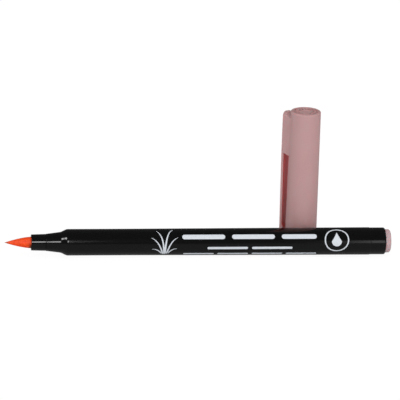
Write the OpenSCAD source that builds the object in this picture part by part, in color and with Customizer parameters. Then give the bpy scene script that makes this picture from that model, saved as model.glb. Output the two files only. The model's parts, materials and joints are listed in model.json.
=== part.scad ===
// Brush pen, uncapped, lying on its side with its cap stood behind it.
// X runs along the pen from the nib to the end plug, Y points away from the pen's front, Z is up.
// The origin is on the table, under the middle of the whole set.
// Stations along the pen are distances from the tip of the nib.

/* [Pen] */
// Length of the uncapped pen, tip of the nib to the end plug
pen_length = 135; // [131:0.5:140]
// Widest diameter of the barrel, near its rear
barrel_d = 9.6; // [9.5:0.1:10]
// Diameter of the front land that the cap slides over
land_d = 9.2; // [9:0.05:9.3]
// Length of the front land
land_length = 21; // [16:0.2:24]
// Diameter of the rear post that the cap is pushed onto while writing
post_d = 9.4; // [9.2:0.05:9.45]
// Length of the rear post, up to the rounded rim
post_length = 4.8; // [3:0.2:8]
// Diameter of the barrel's nose at the seam with the ferrule
nose_d = 5.9; // [5.7:0.05:6.2]
// Diameter where the nose cone meets the shoulder
cone_d = 7.12; // [6.6:0.02:7.2]
// Length of the nose cone
cone_length = 4.85; // [3.5:0.05:5]
// Length of the curved shoulder behind the cone
shoulder_length = 2.9; // [2.5:0.1:5]
// Diameter of the barrel's chamber
chamber_d = 7.6; // [7.5:0.05:7.8]

/* [Nib and ferrule] */
// Length of nib that stands out of the ferrule
nib_out = 9.2; // [8:0.1:10]
// Full diameter of the nib
nib_d = 3.94; // [3.8:0.02:4]
// How fast the nib swells from its tip
nib_power = 1.65; // [1.4:0.05:1.9]
// Diameter of the nib's stem
stem_d = 3.4; // [3.3:0.02:3.5]
// Diameter of the ferrule at its mouth
ferrule_mouth_d = 5.55; // [5.4:0.05:5.7]
// Diameter of the ferrule at the seam
ferrule_seam_d = 5.83; // [5.75:0.01:5.9]
// Length of ferrule that stands out of the barrel
ferrule_out = 5.05; // [4.5:0.05:6]
// Diameter of the ferrule's shank inside the barrel
shank_d = 4.9; // [4.8:0.05:5]

/* [Ink reservoir and end plug] */
// Diameter of the fibre core
core_d = 6.8; // [6.6:0.05:6.9]
// Wall of the film round the core
film_wall = 0.15; // [0.1:0.05:0.2]
// Station where the core starts
core_start = 30; // [28:0.5:32]
// Station where the core ends
core_end = 118; // [105:1:120]
// Diameter of the end plug's head
plug_d = 8.2; // [8:0.05:8.3]
// Length of plug that shows behind the barrel
plug_out = 1.9; // [1.5:0.1:2.5]

/* [Cap] */
// Height of the cap
cap_height = 49; // [48.5:0.1:52]
// Outer diameter at the cap's mouth
cap_mouth_d = 11.1; // [10.9:0.05:11.4]
// Outer diameter at the cap's top
cap_top_d = 10.6; // [10.4:0.05:10.8]
// Bore that slides over the pen's front land
cap_bore_d = 9.5; // [9.46:0.01:9.6]
// Depth of that bore
cap_bore_depth = 26; // [25:0.5:26.5]
// Bore above it, which holds the inner cap
liner_seat_d = 8.2; // [8:0.05:8.4]

/* [Clip] */
// Width of the clip
clip_w = 5.4; // [4.6:0.1:6]
// Distance from the cap's axis to the clip's outer face, on its middle line
clip_reach = 7.75; // [7.6:0.05:8]
// How far the outer face is crowned
clip_crown = 0.3; // [0.2:0.05:0.4]
// Thickness of the springing arm
arm_t = 1; // [0.8:0.05:1.1]
// Height where the arm leaves the solid root
arm_top = 33.5; // [30:0.5:36]
// Height of the arm's lower end
arm_foot = 5; // [4:0.5:8]

/* [Layout] */
// Place of the cap along the pen, from the middle
cap_x = 37.45; // [20:0.05:55]
// Gap between the standing cap and the pen's widest part
cap_gap = 0.48; // [0.3:0.02:2]
// Turn of the clip about the cap's axis
clip_turn = 151; // [120:1:170]

/* [Hidden] */
$fn = 96;
over = 1;               // how far a cutter runs past the face it cuts

// stations along the pen
seam_s = nib_out + ferrule_out;
shoulder_s = seam_s + cone_length;
land_s = shoulder_s + shoulder_length;
land_end_s = land_s + land_length;
rim_s = pen_length - plug_out;
rim_round = (post_d - plug_d) / 2;
post_s = rim_s - rim_round - post_length;
post_step = 0.15;       // length of the slope down to the rear post
steps = 10;             // straight pieces in a curved stretch of an outline

// nib and ferrule
tip_round = 0.22;       // radius of the nib's rounded point
tip_shift = 0.15;       // how much of the swelling is already there at the point
swell_length = 8.95;    // length over which the nib swells
ball_d = 3.5;           // ball on the stem that the nib flexes about
ball_gap = 0.03;        // clearance of the nib's socket on the ball
lip_back = 0.25;        // how far the socket's lip stops in front of the ferrule's mouth
mouth_bore_d = 4.3;     // ferrule's bore at its mouth
mouth_bore_depth = 3.2;
shank_end_s = 24;
stem_end_s = 34;
edge = 0.12;            // small chamfer on moulded edges

// barrel inside
throat_s = 21;          // where the throat starts to widen into the chamber
chamber_s = 24;
rib_count = 6;          // ribs that centre the reservoir and let air past it
rib_w = 0.6;
rib_start_s = 26;
rib_end_s = 124;
film_d = core_d + 2 * film_wall;

// end plug
seat_depth = 1.5;       // depth of the plug's seat in the barrel
plug_face_d = 6.4;      // flat end of the plug, inside its rounded edge
spigot_length = 5.4;
spigot_wall = 0.7;
post_pin_d = 3.2;       // pin of the plug that keeps the core in place

// cap
cap_top_round = 0.6;
cap_dish_d = 9.2;       // shallow dish in the cap's top
cap_dish_depth = 0.3;
cap_roof = 1.6;         // thickness of the cap's top
liner_d = 7.5;
liner_bore_d = 6;
liner_mouth_d = 6.6;
liner_mouth_z = 27.2;
liner_seal_z = 29.6;
liner_flange = 1.2;
liner_roof = 1;

// clip
clip_edge = clip_reach - clip_crown;
crown_r = (pow(clip_w / 2, 2) + pow(clip_crown, 2)) / (2 * clip_crown);
root_top = cap_height - 0.5;
root_round = 1.2;
arm_gap = 0.1;          // clearance between the arm's top and the root
arm_lean = 0.75;        // turn of the arm towards the cap, in degrees
bump_z = 6.5;           // bump that grips the paper or pocket
bump_r = 1.4;
bump_out = 0.7;         // how far the bump stands out of the arm

// layout
pen_z = barrel_d / 2;
clip_depth = clip_edge * sin(clip_turn) - clip_w / 2 * cos(clip_turn);
pitch_y = barrel_d / 2 + cap_gap + cap_mouth_d / 2;
set_depth = barrel_d / 2 + pitch_y + clip_depth;
pen_y = barrel_d / 2 - set_depth / 2;
cap_y = pen_y + pitch_y;

// ---- curves -------------------------------------------------------------------------------

// radius of the nib at station s: a swelling outline with a rounded point
function swell_r(s) =
    nib_d / 2 * (1 - pow(1 - min(1, (s + tip_shift) / (swell_length + tip_shift)), nib_power));
function nib_r(s) = s < tip_round
    ? min(swell_r(s), sqrt(s * (2 * tip_round - s)))
    : swell_r(s);

// radius of the shoulder, t from 0 at the cone to 1 at the land: leaves along the cone, ends level
function shoulder_r(t) =
    cone_d / 2
    + (cone_d - nose_d) / 2 / cone_length * shoulder_length * (t * t * t - 2 * t * t + t)
    + (land_d - cone_d) / 2 * (3 * t * t - 2 * t * t * t);

// points of an arc about [x, y], from angle a to angle b
function arc(x, y, r, a, b) = [for (i = [0 : steps])
    [x + r * cos(a + (b - a) * i / steps), y + r * sin(a + (b - a) * i / steps)]];

// ---- helpers ------------------------------------------------------------------------------

// stands its children, turned about Z, along the pen's axis with z as the station
module on_pen() {
    translate([-pen_length / 2, pen_y, pen_z]) rotate([0, 90, 0]) children();
}

// puts its children, made about Z with the clip towards +X, where the cap stands
module on_cap() {
    translate([cap_x, cap_y, 0]) rotate([0, 0, clip_turn]) children();
}

module turned(points) {
    rotate_extrude() polygon(points);
}

// outside of the cap, filled in
module cap_outside() {
    top_r = cap_top_d / 2;
    mouth_r = cap_mouth_d / 2;
    turned(concat(
        [[0, 0], [mouth_r - edge, 0], [mouth_r, edge]],
        arc(top_r - cap_top_round, cap_height - cap_top_round, cap_top_round, 0, 90),
        [[0, cap_height]]));
}

// plan of the clip: straight sides and a crowned outer face
module clip_plan() {
    intersection() {
        translate([0, -clip_w / 2]) square([clip_reach + over, clip_w]);
        translate([clip_reach - crown_r, 0]) circle(crown_r);
    }
}

// a side outline, x away from the cap and y up, spread over the clip's width and cut to its plan
module clip_piece(z_low, z_high) {
    intersection() {
        translate([0, 0, z_low]) linear_extrude(z_high - z_low) clip_plan();
        translate([0, clip_w, 0]) rotate([90, 0, 0]) linear_extrude(2 * clip_w) children();
    }
}

// ---- sub-parts ----------------------------------------------------------------------------

// soft point of the nib, with a round socket behind it
module nib_tip() {
    lip_s = nib_out - lip_back;
    color("orangered") on_pen() difference() {
        turned(concat(
            [[0, 0]],
            [for (i = [1 : 4]) [nib_r(tip_round * i / 4), tip_round * i / 4]],
            [for (i = [1 : 14]) let (s = tip_round + (lip_s - tip_round) * i / 14) [nib_r(s), s]],
            [[0, lip_s]]));
        translate([0, 0, nib_out]) sphere(d = ball_d + 2 * ball_gap);
    }
}

// ball and stem of the nib, which carry the ink from the core
module nib_root() {
    color("firebrick") on_pen() {
        translate([0, 0, nib_out]) sphere(d = ball_d);
        translate([0, 0, nib_out]) cylinder(d = stem_d, h = stem_end_s - nib_out);
    }
}

// glossy holder of the nib, pressed into the barrel's nose
module ferrule() {
    color("black") on_pen() difference() {
        turned([
            [0, nib_out], [ferrule_mouth_d / 2 - edge, nib_out],
            [ferrule_mouth_d / 2, nib_out + edge], [ferrule_seam_d / 2, seam_s - edge],
            [ferrule_seam_d / 2 - edge, seam_s], [shank_d / 2, seam_s],
            [shank_d / 2, shank_end_s], [0, shank_end_s]]);
        translate([0, 0, nib_out - over]) cylinder(d = mouth_bore_d, h = mouth_bore_depth + over);
        translate([0, 0, nib_out]) cylinder(d = stem_d, h = shank_end_s - nib_out + over);
    }
}

// barrel: nose cone, shoulder, front land, slow taper, rear post and rounded rim
module barrel() {
    throat_r = shank_d / 2;
    chamber_r = chamber_d / 2;
    color([0.11, 0.11, 0.115]) on_pen() {
        turned(concat(
            [[throat_r, seam_s], [nose_d / 2 - edge, seam_s], [nose_d / 2, seam_s + edge]],
            [for (i = [0 : steps])
                [shoulder_r(i / steps), shoulder_s + shoulder_length * i / steps]],
            [[land_d / 2, land_end_s], [barrel_d / 2, post_s - post_step], [post_d / 2, post_s]],
            arc(post_d / 2 - rim_round, rim_s - rim_round, rim_round, 0, 90),
            [[plug_d / 2, rim_s - seat_depth], [chamber_r, rim_s - seat_depth],
             [chamber_r, chamber_s], [throat_r, throat_s]]));
        difference() {
            for (i = [0 : rib_count - 1]) rotate([0, 0, i * 360 / rib_count])
                translate([film_d / 4, -rib_w / 2, rib_start_s])
                    cube([(chamber_r + land_d / 2) / 2 - film_d / 4, rib_w, rib_end_s - rib_start_s]);
            translate([0, 0, rib_start_s - over])
                cylinder(d = film_d, h = rib_end_s - rib_start_s + 2 * over);
        }
    }
}

// fibre core that holds the ink, with a pocket for the nib's stem
module reservoir_core() {
    color("orange") on_pen() difference() {
        translate([0, 0, core_start]) cylinder(d = core_d, h = core_end - core_start);
        translate([0, 0, core_start - over])
            cylinder(d = stem_d, h = stem_end_s - core_start + over);
    }
}

// thin film wound round the core
module reservoir_film() {
    color("whitesmoke") on_pen() difference() {
        translate([0, 0, core_start]) cylinder(d = film_d, h = core_end - core_start);
        translate([0, 0, core_start - over])
            cylinder(d = core_d, h = core_end - core_start + 2 * over);
    }
}

// coloured plug that closes the rear of the barrel
module end_plug() {
    head_s = rim_s - seat_depth;
    slope = (plug_d - plug_face_d) / 2;
    color([0.82, 0.72, 0.73]) on_pen() {
        turned(concat(
            [[0, head_s], [plug_d / 2, head_s]],
            arc(plug_d / 2 - slope, pen_length - slope, slope, 0, 90),
            [[0, pen_length]]));
        translate([0, 0, head_s - spigot_length]) difference() {
            cylinder(d = chamber_d, h = spigot_length);
            translate([0, 0, -over])
                cylinder(d = chamber_d - 2 * spigot_wall, h = spigot_length + over);
        }
        translate([0, 0, core_end]) cylinder(d = post_pin_d, h = head_s - core_end);
    }
}

// outer cap: grip bore, seat for the inner cap and a shallow dish in the top
module cap_shell() {
    color([0.88, 0.72, 0.72]) on_cap() difference() {
        cap_outside();
        translate([0, 0, -over]) cylinder(d = cap_bore_d, h = cap_bore_depth + over);
        cylinder(d = liner_seat_d, h = cap_height - cap_roof);
        translate([0, 0, cap_height - cap_dish_depth]) cylinder(d = cap_dish_d, h = over);
    }
}

// inner cap that seals round the barrel's nose so that the nib stays wet
module cap_liner() {
    roof_z = cap_height - cap_roof;
    color("mistyrose") on_cap() turned([
        [liner_mouth_d / 2, liner_mouth_z], [liner_d / 2, liner_mouth_z],
        [liner_d / 2, roof_z - liner_flange], [liner_seat_d / 2, roof_z - liner_flange],
        [liner_seat_d / 2, roof_z], [0, roof_z], [0, roof_z - liner_roof],
        [liner_bore_d / 2, roof_z - liner_roof], [liner_bore_d / 2, liner_seal_z]]);
}

// solid root of the clip, on the side of the cap
module clip_root() {
    color([0.86, 0.7, 0.7]) on_cap() difference() {
        clip_piece(arm_top, root_top) union() {
            translate([0, arm_top]) square([clip_reach + over, root_top - root_round - arm_top]);
            translate([0, arm_top]) square([clip_reach - root_round, root_top - arm_top]);
            translate([clip_reach - root_round, root_top - root_round]) circle(root_round);
        }
        cap_outside();
    }
}

// springing arm of the clip, with its grip bump and rounded foot
module clip_arm() {
    arm_in = clip_reach - arm_t;
    foot_r = arm_t / 2;
    bump_in = arm_in - bump_out;
    color([0.84, 0.68, 0.68]) on_cap()
        translate([clip_reach, 0, arm_top]) rotate([0, arm_lean, 0]) translate([-clip_reach, 0, -arm_top])
        clip_piece(arm_foot, arm_top - arm_gap) union() {
            translate([arm_in, arm_foot + foot_r])
                square([arm_t, arm_top - arm_gap - arm_foot - foot_r]);
            translate([arm_in + foot_r, arm_foot + foot_r]) circle(foot_r);
            intersection() {
                translate([bump_in + bump_r, bump_z]) circle(bump_r);
                translate([bump_in, bump_z - bump_r])
                    square([arm_in + foot_r - bump_in, 2 * bump_r]);
            }
        }
}

nib_tip();
nib_root();
ferrule();
barrel();
reservoir_core();
reservoir_film();
end_plug();
cap_shell();
cap_liner();
clip_root();
clip_arm();
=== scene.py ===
import json
import math

import bmesh
import bpy
from mathutils import Matrix, Vector


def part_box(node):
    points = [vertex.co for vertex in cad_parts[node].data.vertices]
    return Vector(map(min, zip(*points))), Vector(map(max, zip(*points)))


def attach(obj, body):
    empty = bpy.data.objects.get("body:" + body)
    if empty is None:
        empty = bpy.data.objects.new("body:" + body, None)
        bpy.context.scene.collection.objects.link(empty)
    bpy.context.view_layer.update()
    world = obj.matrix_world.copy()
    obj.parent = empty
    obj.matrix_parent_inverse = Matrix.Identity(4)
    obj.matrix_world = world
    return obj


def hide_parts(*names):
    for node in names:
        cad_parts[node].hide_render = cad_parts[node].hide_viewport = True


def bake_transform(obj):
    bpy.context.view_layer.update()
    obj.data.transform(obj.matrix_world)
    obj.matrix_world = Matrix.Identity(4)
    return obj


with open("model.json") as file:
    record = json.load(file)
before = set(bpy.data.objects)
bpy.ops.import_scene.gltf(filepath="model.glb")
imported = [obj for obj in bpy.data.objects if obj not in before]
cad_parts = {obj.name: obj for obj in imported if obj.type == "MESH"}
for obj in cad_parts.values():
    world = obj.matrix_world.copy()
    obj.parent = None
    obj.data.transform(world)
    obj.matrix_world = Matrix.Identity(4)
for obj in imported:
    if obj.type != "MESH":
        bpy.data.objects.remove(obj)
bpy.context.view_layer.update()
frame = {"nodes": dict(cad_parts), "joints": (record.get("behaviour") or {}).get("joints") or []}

mm = 0.001
scene = bpy.context.scene

# where the pen and the cap are, worked out from the frame
barrelLow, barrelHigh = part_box("barrel")
capLow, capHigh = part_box("cap_shell")
penTip = Vector((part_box("nib_tip")[0].x, (barrelLow.y + barrelHigh.y) / 2, (barrelLow.z + barrelHigh.z) / 2))
capFoot = Vector(((capLow.x + capHigh.x) / 2, (capLow.y + capHigh.y) / 2, capLow.z))
clipHinge = next(j for j in frame["joints"] if j["name"] == "clip_flex")
clipTurn = math.atan2(clipHinge["axis"][0], -clipHinge["axis"][1])   # the way the clip points
print("frame loaded, pen tip at", [round(c, 4) for c in penTip])


# small helpers for modelling by hand
def deselectAll():
    if bpy.context.mode != "OBJECT":
        bpy.ops.object.mode_set(mode="OBJECT")
    bpy.ops.object.select_all(action="DESELECT")


def selectWhere(piece, test):
    # vertices by their place; edges and faces follow
    mesh = bmesh.from_edit_mesh(piece.data)
    for face in mesh.faces:
        face.select = False
    for edge in mesh.edges:
        edge.select = False
    for vert in mesh.verts:
        vert.select = bool(test(vert.co))
    mesh.select_flush(True)
    bmesh.update_edit_mesh(piece.data)


def selectFaces(piece, test):
    # faces by their middle and normal
    mesh = bmesh.from_edit_mesh(piece.data)
    for vert in mesh.verts:
        vert.select = False
    for edge in mesh.edges:
        edge.select = False
    for face in mesh.faces:
        face.select_set(bool(test(face.calc_center_median(), face.normal)))
    bmesh.update_edit_mesh(piece.data)


def roundedOutline(corners, steps=6):
    # corners are (along, radius, fillet); each fillet becomes an arc of a few points
    outline = []
    for i, (along, radius, fillet) in enumerate(corners):
        here = Vector((along, radius))
        if fillet == 0 or i in (0, len(corners) - 1):
            outline.append((along, radius))
            continue
        back = (Vector(corners[i - 1][:2]) - here).normalized()
        ahead = (Vector(corners[i + 1][:2]) - here).normalized()
        half = back.angle(ahead) / 2
        middle = here + (back + ahead).normalized() * (fillet / math.sin(half))
        start = here + back * (fillet / math.tan(half)) - middle
        sweep = math.pi - 2 * half
        turn = 1 if start.x * ahead.y - start.y * ahead.x > 0 else -1
        for k in range(steps + 1):
            a = turn * sweep * k / steps
            outline.append((middle.x + start.x * math.cos(a) - start.y * math.sin(a),
                            middle.y + start.x * math.sin(a) + start.y * math.cos(a)))
    return outline


def turnPiece(name, outline, sides=128):
    # a circle, extruded and scaled ring by ring along Z, in millimetres; radius 0 closes the end on the axis
    deselectAll()
    pole = 0.012
    rings = [(along, max(radius, pole)) for along, radius in outline]
    bpy.ops.mesh.primitive_circle_add(vertices=sides, radius=rings[0][1], location=(0, 0, 0))
    piece = bpy.context.object
    piece.name = name
    bpy.ops.object.mode_set(mode="EDIT")
    bpy.ops.mesh.select_all(action="SELECT")
    bpy.ops.transform.translate(value=(0, 0, rings[0][0]))
    for (oldAlong, oldRadius), (along, radius) in zip(rings, rings[1:]):
        bpy.ops.mesh.extrude_region_move(TRANSFORM_OT_translate={"value": (0, 0, along - oldAlong)})
        k = radius / oldRadius
        bpy.ops.transform.resize(value=(k, k, 1), center_override=(0, 0, along))
    for end in (0, -1):
        if outline[end][1] == 0:
            selectWhere(piece, lambda co: abs(co.z - outline[end][0]) < 1e-4 and co.xy.length < 1.5 * pole)
            bpy.ops.mesh.merge(type="CENTER")
    bpy.ops.mesh.select_all(action="SELECT")
    bpy.ops.mesh.remove_doubles(threshold=0.0005)
    bpy.ops.mesh.normals_make_consistent(inside=False)
    bpy.ops.object.mode_set(mode="OBJECT")
    return piece


def putAt(piece, place, turn=(0, 0, 0)):
    # millimetres to metres, into its place, with everything applied to the mesh
    deselectAll()
    piece.select_set(True)
    bpy.context.view_layer.objects.active = piece
    piece.scale = (mm, mm, mm)
    piece.rotation_euler = turn
    piece.location = place
    bpy.ops.object.transform_apply(location=True, rotation=True, scale=True)
    return piece


def alongPen(piece):
    return putAt(piece, penTip, (0, math.pi / 2, 0))


def onCap(piece):
    return putAt(piece, capFoot, (0, 0, clipTurn))


def smoothBy(piece, degrees):
    deselectAll()
    piece.select_set(True)
    bpy.context.view_layer.objects.active = piece
    bpy.ops.object.shade_smooth_by_angle(angle=math.radians(degrees))


def joinPieces(pieces):
    deselectAll()
    for piece in pieces:
        piece.select_set(True)
    bpy.context.view_layer.objects.active = pieces[0]
    if len(pieces) > 1:
        bpy.ops.object.join()
    return bpy.context.object


def applyModifier(piece, modifier):
    deselectAll()
    piece.select_set(True)
    bpy.context.view_layer.objects.active = piece
    bpy.ops.object.modifier_apply(modifier=modifier.name)


# camera: a long lens a little above the table, looking slightly along the pen
cameraKit = {"lens": 323.3, "away": 1.25, "pitch": 17.7, "turn": 7.0, "roll": 1.95,
             "aimAlong": 0.58, "aimUp": 14.5}


def makeCamera():
    pitch, turn, roll = (math.radians(cameraKit[k]) for k in ("pitch", "turn", "roll"))
    look = Vector((math.sin(turn) * math.cos(pitch), math.cos(turn) * math.cos(pitch), -math.sin(pitch)))
    level = Vector((math.cos(turn), -math.sin(turn), 0))
    steep = level.cross(look)
    right = level * math.cos(roll) + steep * math.sin(roll)
    up = steep * math.cos(roll) - level * math.sin(roll)
    aim = Vector((0, penTip.y, penTip.z)) + (right * cameraKit["aimAlong"] + up * cameraKit["aimUp"]) * mm
    spot = aim - look * cameraKit["away"]
    camera = bpy.data.objects.new("tableCamera", bpy.data.cameras.new("tableCamera"))
    scene.collection.objects.link(camera)
    camera.data.lens = cameraKit["lens"]
    camera.data.clip_start = 0.05
    camera.data.clip_end = 20
    axes = Matrix((right, up, -look)).transposed()
    camera.matrix_world = Matrix.Translation(spot) @ axes.to_4x4()
    scene.camera = camera


makeCamera()
print("camera placed")


# node helpers
def addNode(tree, kind, x, y, **settings):
    made = tree.nodes.new(kind)
    made.location = (x, y)
    for name, value in settings.items():
        setattr(made, name, value)
    return made


def setInputs(made, **values):
    for name, value in values.items():
        made.inputs[name.replace("_", " ")].default_value = value
    return made


def newGroup(name, inputs, outputs):
    group = bpy.data.node_groups.new(name, "ShaderNodeTree")
    for label, kind, value in inputs:
        socket = group.interface.new_socket(label, in_out="INPUT", socket_type=kind)
        if value is not None:
            socket.default_value = value
    for label, kind in outputs:
        group.interface.new_socket(label, in_out="OUTPUT", socket_type=kind)
    return group, group.nodes.new("NodeGroupInput"), group.nodes.new("NodeGroupOutput")


def useGroup(tree, group, x, y, **values):
    made = tree.nodes.new("ShaderNodeGroup")
    made.node_tree = group
    made.location = (x, y)
    return setInputs(made, **values)


def newMaterial(name):
    material = bpy.data.materials.new(name)
    material.use_nodes = True
    tree = material.node_tree
    shader = next(n for n in tree.nodes if n.type == "BSDF_PRINCIPLED")
    shader.location = (300, 0)
    return material, tree, shader


def millimetres(tree, origin, turn=(0, 0, 0)):
    # object coordinates in millimetres, measured from origin
    place = addNode(tree, "ShaderNodeTexCoord", -1200, 0)
    shift = addNode(tree, "ShaderNodeVectorMath", -1020, 0, operation="SUBTRACT")
    shift.inputs[1].default_value = origin
    grow = addNode(tree, "ShaderNodeMapping", -840, 0)
    setInputs(grow, Scale=(1 / mm, 1 / mm, 1 / mm), Rotation=turn)
    tree.links.new(place.outputs["Object"], shift.inputs[0])
    tree.links.new(shift.outputs[0], grow.inputs["Vector"])
    return grow.outputs["Vector"]


def dressIn(piece, material):
    piece.data.materials.clear()
    piece.data.materials.append(material)


# shared effects
def makeMouldSkin():
    # the skin that a polished or spark-eroded mould leaves: fine grain, faint flow marks
    group, given, out = newGroup("mouldSkin",
        [("Vector", "NodeSocketVector", None), ("Grain", "NodeSocketFloat", 6.0),
         ("Flow", "NodeSocketFloat", 0.25)],
        [("Height", "NodeSocketFloat"), ("Tone", "NodeSocketFloat")])
    grain = setInputs(addNode(group, "ShaderNodeTexNoise", -500, 150), Detail=3.0, Roughness=0.6)
    flow = setInputs(addNode(group, "ShaderNodeTexNoise", -500, -150), Detail=2.0, Distortion=0.6)
    height = addNode(group, "ShaderNodeMath", -250, 0, operation="MULTIPLY_ADD")
    height.inputs[1].default_value = 0.7        # share of the grain in the height
    group.links.new(given.outputs["Vector"], grain.inputs["Vector"])
    group.links.new(given.outputs["Grain"], grain.inputs["Scale"])
    group.links.new(given.outputs["Vector"], flow.inputs["Vector"])
    group.links.new(given.outputs["Flow"], flow.inputs["Scale"])
    group.links.new(grain.outputs["Fac"], height.inputs[0])
    group.links.new(flow.outputs["Fac"], height.inputs[2])
    group.links.new(height.outputs[0], out.inputs["Height"])
    group.links.new(flow.outputs["Fac"], out.inputs["Tone"])
    return group


def makeHandling():
    # hairline rubs along one axis and a few specks of dust; 0 is clean, 1 is marked
    group, given, out = newGroup("handling",
        [("Vector", "NodeSocketVector", None), ("Stretch", "NodeSocketVector", (0.15, 3.0, 3.0)),
         ("Specks", "NodeSocketFloat", 1.6)],
        [("Rubs", "NodeSocketFloat"), ("Dust", "NodeSocketFloat")])
    longer = addNode(group, "ShaderNodeVectorMath", -700, 150, operation="MULTIPLY")
    rub = setInputs(addNode(group, "ShaderNodeTexNoise", -500, 150), Scale=2.2, Detail=6.0, Roughness=0.75)
    rubRange = setInputs(addNode(group, "ShaderNodeMapRange", -250, 150), From_Min=0.55, From_Max=0.75)
    dust = addNode(group, "ShaderNodeTexVoronoi", -500, -150)
    dustRange = setInputs(addNode(group, "ShaderNodeMapRange", -250, -150), From_Min=0.09, From_Max=0.04)
    group.links.new(given.outputs["Vector"], longer.inputs[0])
    group.links.new(given.outputs["Stretch"], longer.inputs[1])
    group.links.new(longer.outputs[0], rub.inputs["Vector"])
    group.links.new(rub.outputs["Fac"], rubRange.inputs["Value"])
    group.links.new(given.outputs["Vector"], dust.inputs["Vector"])
    group.links.new(given.outputs["Specks"], dust.inputs["Scale"])
    group.links.new(dust.outputs["Distance"], dustRange.inputs["Value"])
    group.links.new(rubRange.outputs[0], out.inputs["Rubs"])
    group.links.new(dustRange.outputs[0], out.inputs["Dust"])
    return group


def makeFibres():
    # bonded fibres that run along X: streaks of colour and a ribbed height
    group, given, out = newGroup("fibres",
        [("Vector", "NodeSocketVector", None), ("Fineness", "NodeSocketFloat", 7.0)],
        [("Streak", "NodeSocketFloat"), ("Height", "NodeSocketFloat")])
    squeeze = addNode(group, "ShaderNodeVectorMath", -700, 0, operation="MULTIPLY")
    squeeze.inputs[1].default_value = (0.05, 1, 1)
    streak = setInputs(addNode(group, "ShaderNodeTexNoise", -500, 150), Detail=4.0, Roughness=0.65)
    strand = setInputs(addNode(group, "ShaderNodeTexVoronoi", -500, -150), Randomness=1.0)
    finer = addNode(group, "ShaderNodeMath", -700, -250, operation="MULTIPLY")
    finer.inputs[1].default_value = 1.6
    group.links.new(given.outputs["Vector"], squeeze.inputs[0])
    group.links.new(squeeze.outputs[0], streak.inputs["Vector"])
    group.links.new(squeeze.outputs[0], strand.inputs["Vector"])
    group.links.new(given.outputs["Fineness"], streak.inputs["Scale"])
    group.links.new(given.outputs["Fineness"], finer.inputs[0])
    group.links.new(finer.outputs[0], strand.inputs["Scale"])
    group.links.new(streak.outputs["Fac"], out.inputs["Streak"])
    group.links.new(strand.outputs["Distance"], out.inputs["Height"])
    return group


mouldSkin = makeMouldSkin()
handling = makeHandling()
fibres = makeFibres()


# materials
def addBump(tree, shader, height, strength, depth):
    bump = setInputs(addNode(tree, "ShaderNodeBump", 80, -350), Strength=strength, Distance=depth)
    tree.links.new(height, bump.inputs["Height"])
    tree.links.new(bump.outputs["Normal"], shader.inputs["Normal"])


def mouldedPlastic(name, kit, origin):
    # shared recipe for the moulded pieces: two tones, grain, rubs and dust
    material, tree, shader = newMaterial(name)
    where = millimetres(tree, origin)
    skin = useGroup(tree, mouldSkin, -600, 100, Grain=kit["grain"], Flow=kit["flow"])
    marks = useGroup(tree, handling, -600, -200, Stretch=kit["stretch"])
    tone = addNode(tree, "ShaderNodeMix", -300, 200, data_type="RGBA")
    tone.inputs["A"].default_value = (*kit["deep"], 1)
    tone.inputs["B"].default_value = (*kit["light"], 1)
    dusty = addNode(tree, "ShaderNodeMix", -50, 200, data_type="RGBA")
    dusty.inputs["B"].default_value = (*kit["dust"], 1)
    dustAmount = addNode(tree, "ShaderNodeMath", -300, 0, operation="MULTIPLY")
    dustAmount.inputs[1].default_value = kit["dustAmount"]
    rough = setInputs(addNode(tree, "ShaderNodeMapRange", -300, -200),
                      To_Min=kit["rough"][0], To_Max=kit["rough"][1])
    tree.links.new(where, skin.inputs["Vector"])
    tree.links.new(where, marks.inputs["Vector"])
    tree.links.new(skin.outputs["Tone"], tone.inputs["Factor"])
    tree.links.new(marks.outputs["Dust"], dustAmount.inputs[0])
    tree.links.new(dustAmount.outputs[0], dusty.inputs["Factor"])
    tree.links.new(tone.outputs["Result"], dusty.inputs["A"])
    tree.links.new(dusty.outputs["Result"], shader.inputs["Base Color"])
    tree.links.new(marks.outputs["Rubs"], rough.inputs["Value"])
    tree.links.new(rough.outputs[0], shader.inputs["Roughness"])
    addBump(tree, shader, skin.outputs["Height"], kit["bump"], kit["depth"])
    setInputs(shader, IOR=kit["ior"])
    return material, shader


barrelFinish = {"deep": (0.0016, 0.0016, 0.0018), "light": (0.0024, 0.0024, 0.0027),
                "dust": (0.05, 0.05, 0.052), "dustAmount": 0.2, "grain": 9.0, "flow": 0.12,
                "stretch": (0.1, 2.5, 2.5), "rough": (0.14, 0.2), "bump": 0.04, "depth": 0.00002,
                "ior": 1.46}
ferruleFinish = dict(barrelFinish, rough=(0.06, 0.1), grain=6.0, bump=0.02, dustAmount=0.1, ior=1.5)
pinkFinish = {"deep": (0.5, 0.292, 0.292), "light": (0.545, 0.328, 0.328), "dust": (0.7, 0.54, 0.54),
              "dustAmount": 0.2, "grain": 5.0, "flow": 0.09, "stretch": (2.5, 2.5, 0.12),
              "rough": (0.36, 0.46), "bump": 0.08, "depth": 0.00003, "ior": 1.5}
plugFinish = dict(pinkFinish, deep=(0.52, 0.365, 0.38), light=(0.58, 0.415, 0.43), stretch=(0.3, 2.5, 2.5))
pinkDepth = {"weight": 0.3, "radius": (1.0, 0.28, 0.24), "scale": 0.001}

barrelBlack, _ = mouldedPlastic("barrelBlack", barrelFinish, penTip)
ferruleBlack, _ = mouldedPlastic("ferruleBlack", ferruleFinish, penTip)
capPink, capShader = mouldedPlastic("capPink", pinkFinish, capFoot)
plugPink, plugShader = mouldedPlastic("plugPink", plugFinish, penTip)
linerPink, linerShader = mouldedPlastic("linerPink", dict(pinkFinish, light=(0.62, 0.38, 0.38)), capFoot)


# millimetres in the clip's direction, on the leaning arm: where the painted shade is none, where it is full
paintedGapShadeKit = {"color": (0.74, 0.125, 0.125), "low": (0.6, 0.11, 0.11), "rise": (4, 30), "lean": 0.0131,
            "outer": (6.5, 6.34), "inner": (3.8, 4.2), "roof": (33.7, 33.4), "foot": (4.3, 5.1),
            "left": (-2.9, -2.6), "right": (2.7, 2.4)}


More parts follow.
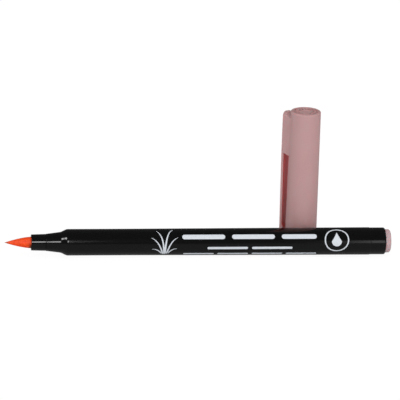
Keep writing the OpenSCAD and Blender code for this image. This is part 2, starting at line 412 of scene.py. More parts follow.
def paintClipGapShade(tree, shader):
    # painted shade and painted glow-through light: the base colour turns a deeper red where the clip and the
    # cap face each other, darker towards the foot
    kit = paintedGapShadeKit
    where = millimetres(tree, capFoot, (0, 0, -clipTurn))
    apart = addNode(tree, "ShaderNodeSeparateXYZ", -900, 700)
    tree.links.new(where, apart.inputs[0])
    steps = [("X", *kit["outer"]), ("X", *kit["inner"]), ("Z", *kit["roof"]), ("Z", *kit["foot"]),
             ("Y", *kit["left"]), ("Y", *kit["right"])]
    lean = addNode(tree, "ShaderNodeMath", -740, 850, operation="MULTIPLY_ADD")
    lean.inputs[1].default_value = -kit["lean"]
    tree.links.new(apart.outputs["Z"], lean.inputs[0])
    tree.links.new(apart.outputs["X"], lean.inputs[2])
    mask = None
    for i, (axis, none, full) in enumerate(steps):
        step = setInputs(addNode(tree, "ShaderNodeMapRange", -560, 1100 - 160 * i),
                         From_Min=none, From_Max=full)
        tree.links.new(lean.outputs[0] if axis == "X" else apart.outputs[axis], step.inputs["Value"])
        if mask:
            both = addNode(tree, "ShaderNodeMath", -380, 1100 - 160 * i, operation="MULTIPLY")
            tree.links.new(mask, both.inputs[0])
            tree.links.new(step.outputs[0], both.inputs[1])
            mask = both.outputs[0]
        else:
            mask = step.outputs[0]
    # painted shade: the deeper red is mixed into the base colour inside the mask
    paintedGapShade = addNode(tree, "ShaderNodeMix", 120, 250, data_type="RGBA")
    rising = setInputs(addNode(tree, "ShaderNodeMapRange", -380, 1300),
                       From_Min=kit["rise"][0], From_Max=kit["rise"][1])
    glow = addNode(tree, "ShaderNodeMix", -180, 1300, data_type="RGBA")
    glow.inputs["A"].default_value = (*kit["low"], 1)
    glow.inputs["B"].default_value = (*kit["color"], 1)
    tree.links.new(apart.outputs["Z"], rising.inputs["Value"])
    tree.links.new(rising.outputs[0], glow.inputs["Factor"])
    tree.links.new(glow.outputs["Result"], paintedGapShade.inputs["B"])
    plain = shader.inputs["Base Color"].links[0].from_socket
    tree.links.new(mask, paintedGapShade.inputs["Factor"])
    tree.links.new(plain, paintedGapShade.inputs["A"])
    tree.links.new(paintedGapShade.outputs["Result"], shader.inputs["Base Color"])


# paint the shade and the glow-through light into the clip's gap
paintClipGapShade(capPink.node_tree, capShader)
for soft in (capShader, plugShader, linerShader):
    setInputs(soft, Subsurface_Weight=pinkDepth["weight"], Subsurface_Radius=pinkDepth["radius"],
              Subsurface_Scale=pinkDepth["scale"])

# the darkest colour here and its ranges paint the shadow in the ferrule's mouth, mostly on the underside
nibFinish = {"bright": (1.0, 0.085, 0.004), "deep": (0.72, 0.05, 0.002), "tip": (0.3, 0.08, 0.03),
             "tipFrom": 1.9, "paintedMouthShadow": (0.07, 0.025, 0.003), "mouthShadowFrom": 7.9, "mouthShadowTo": 9.1, "mouthShadowLow": -0.9,
             "mouthShadowHigh": 0.9, "streaks": (0.3, 0.62), "rough": 0.5, "fineness": 5.0, "bump": 0.22,
             "depth": 0.00005, "softWeight": 0.25, "softRadius": (1.0, 0.25, 0.1), "softScale": 0.0006,
             "specular": 0.25}


def makeNibInk():
    # the brush tip: ink-soaked strands, browner where dry ink gathers at the point, with painted shadow in the
    # ferrule's mouth
    material, tree, shader = newMaterial("nibInk")
    where = millimetres(tree, penTip)
    strands = useGroup(tree, fibres, -600, 100, Fineness=nibFinish["fineness"])
    ink = addNode(tree, "ShaderNodeMix", -300, 200, data_type="RGBA")
    ink.inputs["A"].default_value = (*nibFinish["deep"], 1)
    ink.inputs["B"].default_value = (*nibFinish["bright"], 1)
    apart = addNode(tree, "ShaderNodeSeparateXYZ", -600, -150)
    point = setInputs(addNode(tree, "ShaderNodeMapRange", -400, -150),
                      From_Min=nibFinish["tipFrom"], From_Max=0.0)
    tip = addNode(tree, "ShaderNodeMix", -50, 200, data_type="RGBA")
    tip.inputs["B"].default_value = (*nibFinish["tip"], 1)
    spread = setInputs(addNode(tree, "ShaderNodeMapRange", -450, 250),
                       From_Min=nibFinish["streaks"][0], From_Max=nibFinish["streaks"][1])
    tree.links.new(where, strands.inputs["Vector"])
    tree.links.new(where, apart.inputs[0])
    tree.links.new(strands.outputs["Streak"], spread.inputs["Value"])
    tree.links.new(spread.outputs[0], ink.inputs["Factor"])
    tree.links.new(apart.outputs["X"], point.inputs["Value"])
    tree.links.new(point.outputs[0], tip.inputs["Factor"])
    tree.links.new(ink.outputs["Result"], tip.inputs["A"])
    # painted shadow: darker in the mouth, mostly underneath
    along = setInputs(addNode(tree, "ShaderNodeMapRange", -400, -400), From_Min=nibFinish["mouthShadowFrom"],
                      From_Max=nibFinish["mouthShadowTo"])
    under = setInputs(addNode(tree, "ShaderNodeMapRange", -400, -650), From_Min=nibFinish["mouthShadowHigh"],
                      From_Max=nibFinish["mouthShadowLow"])
    mouth = addNode(tree, "ShaderNodeMath", -200, -500, operation="MULTIPLY")
    paintedMouthShadow = addNode(tree, "ShaderNodeMix", 150, 200, data_type="RGBA")
    paintedMouthShadow.inputs["B"].default_value = (*nibFinish["paintedMouthShadow"], 1)
    tree.links.new(apart.outputs["X"], along.inputs["Value"])
    tree.links.new(apart.outputs["Z"], under.inputs["Value"])
    tree.links.new(along.outputs[0], mouth.inputs[0])
    tree.links.new(under.outputs[0], mouth.inputs[1])
    tree.links.new(mouth.outputs[0], paintedMouthShadow.inputs["Factor"])
    tree.links.new(tip.outputs["Result"], paintedMouthShadow.inputs["A"])
    tree.links.new(paintedMouthShadow.outputs["Result"], shader.inputs["Base Color"])
    addBump(tree, shader, strands.outputs["Height"], nibFinish["bump"], nibFinish["depth"])
    setInputs(shader, Roughness=nibFinish["rough"], Subsurface_Weight=nibFinish["softWeight"],
              Subsurface_Radius=nibFinish["softRadius"], Subsurface_Scale=nibFinish["softScale"],
              Specular_IOR_Level=nibFinish["specular"])
    return material


coreFinish = {"bright": (0.85, 0.32, 0.1), "deep": (0.7, 0.12, 0.03), "rough": 0.85, "fineness": 4.0,
              "bump": 0.4, "depth": 0.0001}


def makeCoreFibre():
    # bonded fibre of the ink store
    material, tree, shader = newMaterial("coreFibre")
    where = millimetres(tree, penTip)
    strands = useGroup(tree, fibres, -600, 100, Fineness=coreFinish["fineness"])
    ink = addNode(tree, "ShaderNodeMix", -300, 200, data_type="RGBA")
    ink.inputs["A"].default_value = (*coreFinish["deep"], 1)
    ink.inputs["B"].default_value = (*coreFinish["bright"], 1)
    tree.links.new(where, strands.inputs["Vector"])
    tree.links.new(strands.outputs["Streak"], ink.inputs["Factor"])
    tree.links.new(ink.outputs["Result"], shader.inputs["Base Color"])
    addBump(tree, shader, strands.outputs["Height"], coreFinish["bump"], coreFinish["depth"])
    setInputs(shader, Roughness=coreFinish["rough"])
    return material


filmFinish = dict(plugFinish, deep=(0.72, 0.72, 0.73), light=(0.8, 0.8, 0.8), dust=(0.9, 0.9, 0.9),
                  rough=(0.12, 0.25), stretch=(0.1, 1.5, 1.5))
printFinish = {"deep": (0.6, 0.64, 0.69), "light": (0.74, 0.78, 0.83), "grain": 14.0, "rough": (0.45, 0.6)}


def makePrintWhite():
    # pad-printed ink: slightly uneven cover, faintly rough edge of the film
    kit = dict(pinkFinish, **printFinish, dust=(0.8, 0.8, 0.8), dustAmount=0.1, flow=3.0, bump=0.15)
    material, _ = mouldedPlastic("printWhite", kit, penTip)
    return material


nibInk = makeNibInk()
coreFibre = makeCoreFibre()
filmClear, _ = mouldedPlastic("filmClear", filmFinish, penTip)
printWhite = makePrintWhite()
print("materials made")


# barrel: nose cone, S-shaped shoulder, long slow taper, stepped rear post
barrelKit = {"seam": 14.25, "noseRadius": 2.95, "coneEnd": 19.1, "coneRadius": 3.56,
             "landStart": 22.0, "landEnd": 43.0, "landRadius": 4.6, "fullRadius": 4.8,
             "postStart": 127.7, "postRadius": 4.7, "rim": 133.1, "plugRadius": 4.1, "seatDepth": 1.5,
             "chamberRadius": 3.8, "chamberStart": 24.0, "throat": 21.0, "throatRadius": 2.45,
             "stepLength": 0.2}


def shoulderRadius(t):
    # leaves the cone along its slope and joins the land level
    kit = barrelKit
    slope = (kit["coneRadius"] - kit["noseRadius"]) / (kit["coneEnd"] - kit["seam"])
    lift = slope * (kit["landStart"] - kit["coneEnd"]) * (t ** 3 - 2 * t ** 2 + t)
    return kit["coneRadius"] + lift + (kit["landRadius"] - kit["coneRadius"]) * (3 * t ** 2 - 2 * t ** 3)


def barrelRadius(station):
    kit = barrelKit
    share = (station - kit["landEnd"]) / (kit["postStart"] - kit["stepLength"] - kit["landEnd"])
    return kit["landRadius"] + (kit["fullRadius"] - kit["landRadius"]) * min(1, max(0, share))


def makeBarrel():
    kit = barrelKit
    nose = roundedOutline([(kit["seam"], kit["throatRadius"], 0), (kit["seam"], kit["noseRadius"], 0.1),
                           (kit["coneEnd"], kit["coneRadius"], 0)], 4)
    shoulderSteps = 18
    shoulder = [(kit["coneEnd"] + (kit["landStart"] - kit["coneEnd"]) * i / shoulderSteps,
                 shoulderRadius(i / shoulderSteps)) for i in range(1, shoulderSteps + 1)]
    rear = roundedOutline([
        (kit["landStart"], kit["landRadius"], 0), (kit["landEnd"], kit["landRadius"], 0),
        (kit["postStart"] - kit["stepLength"], kit["fullRadius"], 0.1),
        (kit["postStart"], kit["postRadius"], 0.1),
        (kit["rim"], kit["postRadius"], 0.58), (kit["rim"], kit["plugRadius"], 0.04),
        (kit["rim"] - kit["seatDepth"], kit["plugRadius"], 0),
        (kit["rim"] - kit["seatDepth"], kit["chamberRadius"], 0),
        (kit["chamberStart"], kit["chamberRadius"], 0), (kit["throat"], kit["throatRadius"], 0),
        (kit["seam"], kit["throatRadius"], 0)], 6)
    piece = alongPen(turnPiece("barrelBody", nose + shoulder + rear[1:]))
    smoothBy(piece, 32)
    dressIn(piece, barrelBlack)
    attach(piece, "pen")
    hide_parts("barrel")


# ferrule: glossy holder of the nib
ferruleKit = {"mouth": 9.2, "mouthRadius": 2.775, "boreRadius": 2.15, "boreEnd": 12.4, "seamRadius": 2.915,
              "shankRadius": 2.45, "shankEnd": 24.0, "stemRadius": 1.7}


def makeFerrule():
    kit = ferruleKit
    seam = barrelKit["seam"]
    outline = roundedOutline([
        (kit["boreEnd"], kit["stemRadius"], 0), (kit["boreEnd"], kit["boreRadius"], 0),
        (kit["mouth"], kit["boreRadius"], 0.1), (kit["mouth"], kit["mouthRadius"], 0.16),
        (seam, kit["seamRadius"], 0.1), (seam, kit["shankRadius"], 0),
        (kit["shankEnd"], kit["shankRadius"], 0.2), (kit["shankEnd"], kit["stemRadius"], 0),
        (kit["boreEnd"], kit["stemRadius"], 0)], 5)
    piece = alongPen(turnPiece("nibFerrule", outline))
    smoothBy(piece, 35)
    dressIn(piece, ferruleBlack)
    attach(piece, "pen")
    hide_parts("ferrule")


# nib: one soft point, from its tip to the bottom of the ferrule's mouth
nibKit = {"radius": 1.97, "power": 1.5, "shift": 0.05, "swell": 8.95, "tipRound": 0.22, "end": 12.3,
          "ridge": 0.012, "ridges": 22, "wander": 1.3, "twist": 0.6, "fadeOver": 2, "smoothCore": 0.05,
          "bendFrom": 10.6, "bendTo": 4.4}


def nibRadius(s):
    kit = nibKit
    t = min(1, (s + kit["shift"]) / (kit["swell"] + kit["shift"]))
    swell = kit["radius"] * (1 - (1 - t) ** kit["power"])
    return min(swell, math.sqrt(s * (2 * kit["tipRound"] - s))) if s < kit["tipRound"] else swell


def makeNib():
    kit = nibKit
    tipSteps, bodySteps = 6, 44
    tip = [(kit["tipRound"] * i / tipSteps, nibRadius(kit["tipRound"] * i / tipSteps))
           for i in range(tipSteps)]
    length = kit["end"] - kit["tipRound"]
    body = [(kit["tipRound"] + length * i / bodySteps, nibRadius(kit["tipRound"] + length * i / bodySteps))
            for i in range(bodySteps + 1)]
    piece = turnPiece("brushNib", tip + body + [(kit["end"], 0)], 96)
    for vert in piece.data.vertices:      # strands show as very fine uneven ridges along the nib
        if vert.co.xy.length < kit["smoothCore"]:
            continue
        a = math.atan2(vert.co.y, vert.co.x)
        wave = math.sin(kit["ridges"] * a + kit["wander"] * math.sin(3 * a))
        wave += kit["twist"] * math.sin(9 * a + 0.8 * vert.co.z)
        fade = min(1, vert.co.z / kit["fadeOver"])
        k = 1 - kit["ridge"] * fade * (0.5 + 0.3 * wave)
        vert.co.x *= k
        vert.co.y *= k
    alongPen(piece)
    smoothBy(piece, 60)
    dressIn(piece, nibInk)
    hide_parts("nib_tip", "nib_root")
    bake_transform(piece)


# end plug: the coloured button that closes the barrel
plugKit = {"inner": 131.65, "radius": 4.07, "end": 135.0, "edge": 0.85, "dishRadius": 2.5, "dishDepth": 0.18,
           "gateRadius": 0.4, "gateHeight": 0.1}


def makePlug():
    kit = plugKit
    floor = kit["end"] - kit["dishDepth"]
    outline = roundedOutline([
        (kit["inner"], 0, 0), (kit["inner"], kit["radius"], 0.1), (kit["end"], kit["radius"], kit["edge"]),
        (kit["end"], kit["dishRadius"], 0.08), (floor, kit["dishRadius"] - 0.1, 0.06),
        (floor, kit["gateRadius"], 0.03), (floor + kit["gateHeight"], kit["gateRadius"] * 0.8, 0.05),
        (floor + kit["gateHeight"], 0, 0)], 7)
    piece = alongPen(turnPiece("endPlug", outline))
    smoothBy(piece, 35)
    dressIn(piece, plugPink)
    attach(piece, "pen")
    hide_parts("end_plug")


# cap: tapered tube with a rounded top rim, a dished face and a stepped bore
dishKit = {"count": 16, "radius": 3.3, "pip": (0.85, 0.62), "tall": 0.74}
capKit = {"height": 49.0, "mouthRadius": 5.55, "topRadius": 5.3, "topRound": 0.55, "dishRadius": 4.35,
          "dishDepth": 0.42, "ringRadius": 2.2, "ringWidth": 0.35, "ringHeight": 0.12,
          "boreRadius": 4.75, "boreEnd": 26.0, "seatRadius": 4.1, "seatEnd": 47.4}


def makeDishPips(floor):
    # ring of small moulded pips in the dish
    kit = dishKit
    pips = []
    for i in range(kit["count"]):
        a = 2 * math.pi * (i + 0.5) / kit["count"]
        deselectAll()
        place = (kit["radius"] * math.cos(a), kit["radius"] * math.sin(a), floor)
        bpy.ops.mesh.primitive_cube_add(size=1, rotation=(0, 0, a), scale=(*kit["pip"], kit["tall"]),
                                        location=place)
        pips.append(bpy.context.object)
    piece = joinPieces(pips)
    bpy.ops.object.transform_apply(location=True, rotation=True, scale=True)
    return piece


def makeCap():
    kit = capKit
    floor = kit["height"] - kit["dishDepth"]
    ringOut, ringIn = kit["ringRadius"] + kit["ringWidth"] / 2, kit["ringRadius"] - kit["ringWidth"] / 2
    outline = roundedOutline([
        (floor, 0, 0), (floor, ringIn - 0.05, 0.04), (floor + kit["ringHeight"], ringIn, 0.05),
        (floor + kit["ringHeight"], ringOut, 0.05), (floor, ringOut + 0.05, 0.04),
        (floor, kit["dishRadius"] - 0.04, 0.08), (kit["height"], kit["dishRadius"], 0.12),
        (kit["height"], kit["topRadius"], kit["topRound"] * 0.92), (0, kit["mouthRadius"], 0.14),
        (0, kit["boreRadius"] + 0.2, 0.1), (0.35, kit["boreRadius"], 0.2),
        (kit["boreEnd"], kit["boreRadius"], 0.2), (kit["boreEnd"], kit["seatRadius"], 0.1),
        (kit["seatEnd"], kit["seatRadius"], 0.1), (kit["seatEnd"], 0, 0)], 6)
    piece = joinPieces([turnPiece("capShell", outline, 160), makeDishPips(floor)])
    onCap(piece)
    smoothBy(piece, 32)
    dressIn(piece, capPink)
    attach(piece, "cap")
    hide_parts("cap_shell")


# clip: one strip, solid root above, free arm below, with a grip bump
clipKit = {"width": 5.4, "inner": 6.66, "outer": 7.45, "crown": 0.28, "top": 48.2, "gapTop": 33.5,
           "foot": 4.8, "bump": [(5.1, 0), (5.6, 0.38), (6.0, 0.5), (6.5, 0.38), (7.2, 0)],
           "edge": 0.2, "lean": 0.0131,
           "sideDrop": 0.8, "sidePower": 2.2, "innerDrop": 0.75, "innerReach": (5.3, 6.7),
           "outerDrop": 0.3, "outerReach": (6.9, 7.7), "gapSlope": 0.6, "gapRun": 1.5, "wallRadius": 4.95,
           "rows": [-2.3, -1.8, -0.9, 0, 0.9, 1.8, 2.3], "near": 0.01,
           "roots": [(6.28, 2.74), (5.85, 2.81), (5.43, 2.92), (5.02, 3.06), (4.62, 3.25), (4.24, 3.46),
                     (3.88, 3.71), (3.55, 3.95), (3.45, 3.75)],
           "edgeSteps": 5, "edgeAngle": 38, "bendFrom": 1.5, "bendTo": 7}


def smoothStep(value, low, high):
    t = min(1, max(0, (value - low) / (high - low)))
    return t * t * (3 - 2 * t)


def shapeClip(piece):
    # domed top, sloping roof of the gap, arm leaning to the cap, root kept inside the cap's wall
    kit = clipKit
    near = kit["near"]
    for vert in piece.data.vertices:
        co = vert.co
        if co.z > kit["top"] - near:
            co.z -= kit["sideDrop"] * min(1, abs(co.y) / (kit["width"] / 2)) ** kit["sidePower"]
            co.z -= kit["innerDrop"] * (1 - smoothStep(co.x, *kit["innerReach"]))
            co.z -= kit["outerDrop"] * smoothStep(co.x, *kit["outerReach"])
        if abs(co.z - kit["gapTop"]) < near and co.x < kit["inner"] - near:
            co.z -= kit["gapSlope"] * min(1, (kit["inner"] - co.x) / kit["gapRun"])
        if co.z < kit["gapTop"]:
            co.x -= kit["lean"] * (kit["gapTop"] - co.z)
        if co.xy.length < kit["wallRadius"]:
            co.x = math.sqrt(kit["wallRadius"] ** 2 - co.y ** 2)


def makeClip():
    kit = clipKit
    deselectAll()
    thick = kit["outer"] - kit["inner"]
    tall = kit["top"] - kit["foot"]
    bpy.ops.mesh.primitive_cube_add(size=1, location=(0, 0, 0))
    piece = bpy.context.object
    piece.name = "capClip"
    bpy.ops.object.mode_set(mode="EDIT")
    bpy.ops.mesh.select_all(action="SELECT")
    bpy.ops.transform.resize(value=(thick, kit["width"], tall), center_override=(0, 0, 0))
    bpy.ops.transform.translate(value=(kit["inner"] + thick / 2, 0, kit["foot"] + tall / 2))
    levels = [level for level, out in kit["bump"]] + [kit["gapTop"]]
    # rows along the arm and the root
    levels += [9.5 + 3 * i for i in range(8)] + [36 + 2 * i for i in range(6)]
    for level in sorted(levels):
        bpy.ops.mesh.select_all(action="SELECT")
        bpy.ops.mesh.bisect(plane_co=(0, 0, level), plane_no=(0, 0, 1))
    # the root: inner faces above the gap drawn to the cap's wall, flared where they meet it
    selectFaces(piece, lambda mid, normal: normal.x < -0.9 and mid.z > kit["gapTop"])
    at, half = kit["inner"], kit["width"] / 2
    for reach, spread in kit["roots"]:
        bpy.ops.mesh.extrude_region_move(TRANSFORM_OT_translate={"value": (reach - at, 0, 0)})
        bpy.ops.transform.resize(value=(1, spread / half, 1), center_override=(0, 0, 0))
        at, half = reach, spread
    # crowned face: cut across the width, then push the rows out
    for row in kit["rows"]:
        bpy.ops.mesh.select_all(action="SELECT")
        bpy.ops.mesh.bisect(plane_co=(0, row, 0), plane_no=(0, 1, 0))
    for row in kit["rows"]:
        out = kit["crown"] * (1 - (row / (kit["width"] / 2)) ** 2)
        selectWhere(piece, lambda co: abs(co.y - row) < 1e-3 and co.x > kit["outer"] - kit["near"])
        bpy.ops.transform.translate(value=(out, 0, 0))
    # grip bump on the inside, near the foot
    for level, out in kit["bump"]:
        if out:
            selectWhere(piece, lambda co: abs(co.z - level) < 1e-3 and co.x < kit["inner"] + kit["near"])
            bpy.ops.transform.translate(value=(-out, 0, 0))
    bpy.ops.object.mode_set(mode="OBJECT")
    shapeClip(piece)
    bpy.ops.object.mode_set(mode="EDIT")
    bpy.ops.mesh.select_all(action="SELECT")
    bpy.ops.mesh.remove_doubles(threshold=0.002)
    bpy.ops.mesh.dissolve_degenerate(threshold=0.001)
    bpy.ops.mesh.normals_make_consistent(inside=False)
    bpy.ops.object.mode_set(mode="OBJECT")
    rounding = piece.modifiers.new("edges", "BEVEL")
    rounding.width = kit["edge"]
    rounding.segments = kit["edgeSteps"]
    rounding.limit_method = "ANGLE"
    rounding.angle_limit = math.radians(kit["edgeAngle"])
    applyModifier(piece, rounding)
    onCap(piece)
    smoothBy(piece, 40)
    dressIn(piece, capPink)
    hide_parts("clip_root", "clip_arm")
    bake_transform(piece)


makeBarrel()
makeFerrule()
makeNib()
makePlug()
print("pen modelled")
makeCap()
makeClip()
print("cap and clip modelled")


# print on the barrel: raised ink, laid flat first and then wrapped round the barrel
printKit = {"baseAngle": 17.7, "lift": 0.022, "sink": 0.012, "cut": 0.35}


def wrapOnBarrel(piece, name):
    # the flat print has X as the station and Y round the barrel, up from the print's base line
    deselectAll()
    piece.name = name
    piece.select_set(True)
    bpy.context.view_layer.objects.active = piece
    bpy.ops.object.mode_set(mode="EDIT")
    bpy.ops.mesh.select_all(action="SELECT")
    bpy.ops.mesh.remove_doubles(threshold=0.0005)
    heights = [v.co.y for v in piece.data.vertices]
    low, high = min(heights), max(heights)
    count = int((high - low) / printKit["cut"]) + 1
    for i in range(1, count):
        bpy.ops.mesh.select_all(action="SELECT")
        bpy.ops.mesh.bisect(plane_co=(0, low + (high - low) * i / count, 0), plane_no=(0, 1, 0))
    bpy.ops.object.mode_set(mode="OBJECT")
    base = math.radians(printKit["baseAngle"])
    for vert in piece.data.vertices:
        radius = barrelRadius(vert.co.x)
        a = base + vert.co.y / radius
        radius -= printKit["sink"]
        vert.co = (vert.co.x, -radius * math.cos(a), radius * math.sin(a))
    film = piece.modifiers.new("film", "SOLIDIFY")
    film.thickness = printKit["lift"] + printKit["sink"]
    film.offset = 1
    applyModifier(piece, film)
    putAt(piece, penTip)
    dressIn(piece, printWhite)
    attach(piece, "pen")


def flatDash(left, right, height, rise):
    # a plain dash with round ends: the circle is turned half a step, so that its halves part cleanly
    deselectAll()
    half = height / 2
    sides = 24
    bpy.ops.mesh.primitive_circle_add(vertices=sides, radius=half, fill_type="NGON", location=(0, 0, 0),
                                      rotation=(0, 0, math.pi / sides))
    piece = bpy.context.object
    bpy.ops.object.transform_apply(location=True, rotation=True, scale=True)
    for vert in piece.data.vertices:
        vert.co.x += right - half if vert.co.x > 0 else left + half
        vert.co.y += rise
    return piece


# three rows of plain dashes, with no words in them
printRows = [
    {"name": "printTopRow", "height": 1.7, "rise": 1.75,
     "dashes": [(61.4, 76.4), (78.8, 93.8), (96.2, 108.5)]},
    {"name": "printMiddleRow", "height": 0.9, "rise": -2.3, "dashes": [(70.2, 84.4), (85.8, 100.0)]},
    {"name": "printLowerRow", "height": 0.8, "rise": -5.05,
     "dashes": [(61.9, 72.6), (73.9, 84.6), (85.9, 96.6), (97.9, 108.6)]},
]


def makePrintRows():
    for row in printRows:
        dashes = [flatDash(left, right, row["height"], row["rise"]) for left, right in row["dashes"]]
        wrapOnBarrel(joinPieces(dashes), row["name"])


def flatStroke(path, widths, steps=36, across=4):
    # a brushed stroke: a grid laid along a curve, as wide as the brush was pressed
    deselectAll()
    bpy.ops.mesh.primitive_grid_add(x_subdivisions=steps, y_subdivisions=across, size=1, location=(0, 0, 0))
    piece = bpy.context.object
    for vert in piece.data.vertices:
        t, side = vert.co.x + 0.5, vert.co.y * 2
        here, ahead = path(t), path(t + 0.01)
        way = (ahead - here).normalized()
        half = widths(t) / 2
        vert.co = (here.x - way.y * side * half, here.y + way.x * side * half, 0)
    return piece


def bezier(a, b, c, d):
    a, b, c, d = (Vector(p) for p in (a, b, c, d))
    return lambda t: a * (1 - t) ** 3 + b * 3 * t * (1 - t) ** 2 + c * 3 * t ** 2 * (1 - t) + d * t ** 3


def pressed(most):
    # thick near the root of a blade, thin at its tip
    return lambda t: 0.07 + most * (1 - min(1, max(0, t))) ** 0.7 * min(1, max(0, t) * 8 + 0.35)


grassBlades = [
    (bezier((54.6, -5.0), (54.3, -2.0), (52.6, 0.8), (50.6, 1.4)), pressed(0.5)),
    (bezier((55.0, -5.1), (55.2, -1.0), (54.4, 2.6), (52.4, 4.4)), pressed(0.6)),
    (bezier((55.5, -5.1), (55.4, -0.5), (56.2, 3.4), (58.3, 5.0)), pressed(0.65)),
    (bezier((56.0, -4.9), (56.6, -1.6), (57.8, 0.6), (59.9, 1.5)), pressed(0.5)),
    (bezier((54.2, -4.7), (53.6, -3.4), (52.6, -2.6), (51.0, -2.6)), pressed(0.38)),
    (bezier((56.5, -4.6), (57.2, -3.2), (58.2, -2.4), (59.6, -2.5)), pressed(0.38)),
]


def makeGrass():
    # a brushed tuft of grass
    wrapOnBarrel(joinPieces([flatStroke(path, widths) for path, widths in grassBlades]), "printGrass")


badgeKit = {"station": 115.55, "rise": 0.45, "outer": 4.3, "line": 0.42, "drop": 1.75,
            "pinch": 0.75, "stretch": 0.85, "sink": 0.3}


def flatRing(outer, width, at):
    # a disc with its middle taken out
    deselectAll()
    bpy.ops.mesh.primitive_circle_add(vertices=96, radius=outer, fill_type="NGON", location=(0, 0, 0))
    piece = bpy.context.object
    bpy.ops.object.mode_set(mode="EDIT")
    bpy.ops.mesh.select_all(action="SELECT")
    bpy.ops.mesh.inset(thickness=width, depth=0)
    bpy.ops.mesh.delete(type="FACE")
    bpy.ops.mesh.select_all(action="SELECT")
    bpy.ops.transform.translate(value=(at[0], at[1], 0))
    bpy.ops.object.mode_set(mode="OBJECT")
    return piece


def flatDrop(size, at):
    # a drop of ink: a disc drawn out to a point
    kit = badgeKit
    deselectAll()
    bpy.ops.mesh.primitive_circle_add(vertices=64, radius=size, fill_type="NGON", location=(0, 0, 0))
    piece = bpy.context.object
    for vert in piece.data.vertices:
        up = max(0, vert.co.y / size)
        vert.co.x *= 1 - kit["pinch"] * up ** 1.2 if up < 1 else 0
        vert.co.y += size * kit["stretch"] * up ** 2.2
        vert.co.x += at[0]
        vert.co.y += at[1] - size * kit["sink"]
    return piece


def makeBadge():
    # a plain ring round one drop of ink
    kit = badgeKit
    at = (kit["station"], kit["rise"])
    parts = [flatRing(kit["outer"], kit["line"], at), flatDrop(kit["drop"], at)]
    wrapOnBarrel(joinPieces(parts), "printBadge")


makePrintRows()
makeGrass()
makeBadge()
print("print laid on the barrel")

# CAD pieces that stay: the ink store and the inner cap
for node, material in (("reservoir_core", coreFibre), ("reservoir_film", filmClear),
                       ("cap_liner", linerPink)):
    dressIn(frame["nodes"][node], material)


# table and studio
studioKit = {"floorSize": 6.0, "floorDrop": 0.0001, "ground": (0.86, 0.86, 0.87), "floorGlow": 1.05,
             "floorShade": 0.1, "floorGloss": 0.27, "top": 0.6, "front": 1.1, "brightWay": (0, -1, 0),
             "skyGloss": 0.1, "skyCamera": 1.0}


def makeTable():
    deselectAll()
    bpy.ops.mesh.primitive_plane_add(size=studioKit["floorSize"], location=(0, 0, -studioKit["floorDrop"]))
    table = bpy.context.object
    table.name = "table"
    material, tree, shader = newMaterial("tableWhite")
    setInputs(shader, Base_Color=(*studioKit["ground"], 1), Roughness=0.9, Specular_IOR_Level=0.0)
    # lit so far that hardly any shade is left where the camera looks; dimmer in what the pen mirrors
    glow = setInputs(addNode(tree, "ShaderNodeEmission", 300, -400), Strength=studioKit["floorGlow"])
    dim = setInputs(addNode(tree, "ShaderNodeEmission", 300, -600), Strength=studioKit["floorGloss"])
    washed = setInputs(addNode(tree, "ShaderNodeMixShader", 550, -200), Fac=studioKit["floorShade"])
    path = addNode(tree, "ShaderNodeLightPath", 300, 400)
    forCamera = addNode(tree, "ShaderNodeMixShader", 700, 0)
    forGloss = addNode(tree, "ShaderNodeMixShader", 900, 0)
    out = next(n for n in tree.nodes if n.type == "OUTPUT_MATERIAL")
    out.location = (1100, 0)
    tree.links.new(glow.outputs[0], washed.inputs[1])
    tree.links.new(shader.outputs[0], washed.inputs[2])
    tree.links.new(path.outputs["Is Camera Ray"], forCamera.inputs[0])
    tree.links.new(shader.outputs[0], forCamera.inputs[1])
    tree.links.new(washed.outputs[0], forCamera.inputs[2])
    tree.links.new(path.outputs["Is Glossy Ray"], forGloss.inputs[0])
    tree.links.new(forCamera.outputs[0], forGloss.inputs[1])
    tree.links.new(dim.outputs[0], forGloss.inputs[2])
    tree.links.new(forGloss.outputs[0], out.inputs["Surface"])
    material.cycles.emission_sampling = "NONE"
    dressIn(table, material)


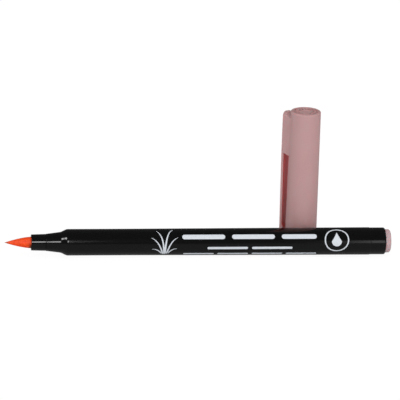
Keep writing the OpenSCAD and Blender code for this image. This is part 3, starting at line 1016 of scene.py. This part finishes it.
def makeSky():
    # white room, brighter from the front than from above; much darker in the pen's reflections
    world = bpy.data.worlds.new("studio")
    scene.world = world
    world.use_nodes = True
    tree = world.node_tree
    background = next(n for n in tree.nodes if n.type == "BACKGROUND")
    setInputs(background, Color=(1, 1, 1, 1))
    path = addNode(tree, "ShaderNodeLightPath", -800, 0)
    way = addNode(tree, "ShaderNodeTexCoord", -1300, -200)
    front = addNode(tree, "ShaderNodeVectorMath", -1100, -200, operation="DOT_PRODUCT")
    front.inputs[1].default_value = studioKit["brightWay"]
    room = setInputs(addNode(tree, "ShaderNodeMapRange", -900, -200), To_Min=studioKit["top"],
                     To_Max=studioKit["top"] + studioKit["front"])
    gloss = addNode(tree, "ShaderNodeMix", -500, 0)
    gloss.inputs[3].default_value = studioKit["skyGloss"]
    seen = addNode(tree, "ShaderNodeMix", -250, 0)
    seen.inputs[3].default_value = studioKit["skyCamera"]
    tree.links.new(way.outputs["Generated"], front.inputs[0])
    tree.links.new(front.outputs["Value"], room.inputs["Value"])
    tree.links.new(path.outputs["Is Glossy Ray"], gloss.inputs[0])
    tree.links.new(room.outputs[0], gloss.inputs[2])
    tree.links.new(path.outputs["Is Camera Ray"], seen.inputs[0])
    tree.links.new(gloss.outputs[0], seen.inputs[2])
    tree.links.new(seen.outputs[0], background.inputs["Strength"])
    world.cycles.sampling_method = "NONE"


lampKits = [
    {"name": "leftStrip", "aim": (-107, 0, 5), "way": (0, 24), "away": 300,
     "size": (120, 70), "radiance": 9.0},
    {"name": "rightStrip", "aim": (162, 0, 5), "way": (0, 11), "away": 300,
     "size": (100, 110), "radiance": 1.5},
    {"name": "upperLeft", "aim": (-48, -4, 5), "way": (-57, 43), "away": 300,
     "size": (90, 70), "radiance": 12.0},
]


def makeLamps():
    # "way" is where each lamp stands: degrees to the right of straight in front, degrees above the table
    for kit in lampKits:
        lamp = bpy.data.objects.new(kit["name"], bpy.data.lights.new(kit["name"], "AREA"))
        scene.collection.objects.link(lamp)
        lamp.data.shape = "RECTANGLE"
        lamp.data.size = kit["size"][0] * mm
        lamp.data.size_y = kit["size"][1] * mm
        lamp.data.energy = kit["radiance"] * math.pi * lamp.data.size * lamp.data.size_y
        side, rise = (math.radians(w) for w in kit["way"])
        aim = Vector((kit["aim"][0] * mm, penTip.y + kit["aim"][1] * mm, penTip.z))
        back = Vector((math.sin(side) * math.cos(rise), -math.cos(side) * math.cos(rise), math.sin(rise)))
        lamp.location = aim + back * kit["away"] * mm
        lamp.rotation_mode = "QUATERNION"
        lamp.rotation_quaternion = back.to_track_quat("Z", "Y")
        lamp.visible_diffuse = False
        lamp.visible_camera = False


makeTable()
makeSky()
makeLamps()
scene.view_settings.view_transform = "Standard"
scene.view_settings.look = "None"
print("studio set")
